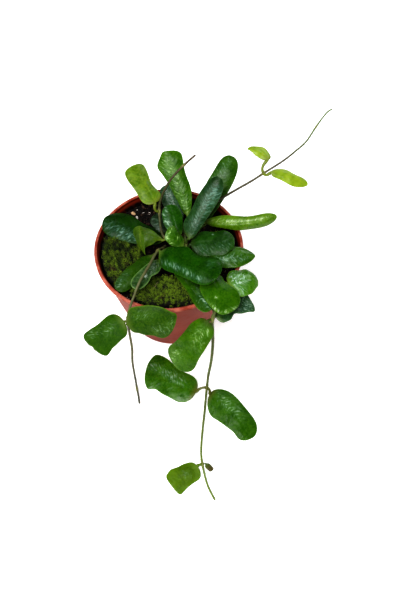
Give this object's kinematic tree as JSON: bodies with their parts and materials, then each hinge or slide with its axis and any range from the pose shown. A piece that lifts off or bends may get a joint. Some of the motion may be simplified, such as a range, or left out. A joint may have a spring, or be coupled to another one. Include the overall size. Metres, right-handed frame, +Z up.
{
  "type": "potted hoya rotundiflora",
  "caption": "Houseplant with thick square-tipped leaves on trailing and arching stems, in a round plastic nursery pot with soil and moss.",
  "frame": {"origin": "centre of the pot's flat base, on the surface it stands on", "axes": "+Z up along the pot's axis, -Y towards the front where the stems trail, +X to the right"},
  "size_m": [0.1954, 0.2659, 0.1657],
  "materials": {
    "pot_plastic": "satin moulded terracotta-coloured plastic",
    "potting_soil": "loose dark potting mix",
    "moss": "short green moss",
    "stem_bark": "matt brown-green stem",
    "leaf_green": "glossy waxy leaf",
    "young_leaf_green": "glossy yellow-green young leaf"
  },
  "bodies": {
    "root": {"pot": "pot_plastic", "soil": "potting_soil", "moss_left": "moss", "moss_front": "moss", "moss_right": "moss", "stem_centre": "stem_bark", "stem_arching": "stem_bark", "stem_trailing_left": "stem_bark", "stem_trailing_right": "stem_bark", "stem_rising_right": "stem_bark", "leaf_back_square": "leaf_green", "leaf_back_tall": "leaf_green", "leaf_right_narrow": "leaf_green", "leaf_centre_upright": "leaf_green", "leaf_centre_small": "leaf_green", "leaf_centre_back": "leaf_green", "leaf_centre_right": "leaf_green", "leaf_centre_low_back": "leaf_green", "leaf_centre_large": "leaf_green", "leaf_left_small": "leaf_green", "leaf_left_long": "leaf_green", "leaf_left_folded": "young_leaf_green", "leaf_left_low": "leaf_green", "leaf_left_low_front": "leaf_green", "leaf_front_left": "leaf_green", "leaf_right_pointed": "leaf_green", "leaf_front_broad": "leaf_green", "leaf_right_glossy": "leaf_green", "leaf_right_low": "leaf_green", "leaf_trail_right_1": "leaf_green", "leaf_trail_right_2": "leaf_green", "leaf_trail_right_3": "leaf_green", "leaf_trail_right_4": "leaf_green", "leaf_trail_right_bud": "leaf_green", "leaf_trail_left_1": "leaf_green", "leaf_trail_left_2": "leaf_green", "leaf_arching_young": "young_leaf_green", "leaf_rising_young_1": "young_leaf_green", "leaf_rising_young_2": "young_leaf_green"}
  },
  "joints": []
}
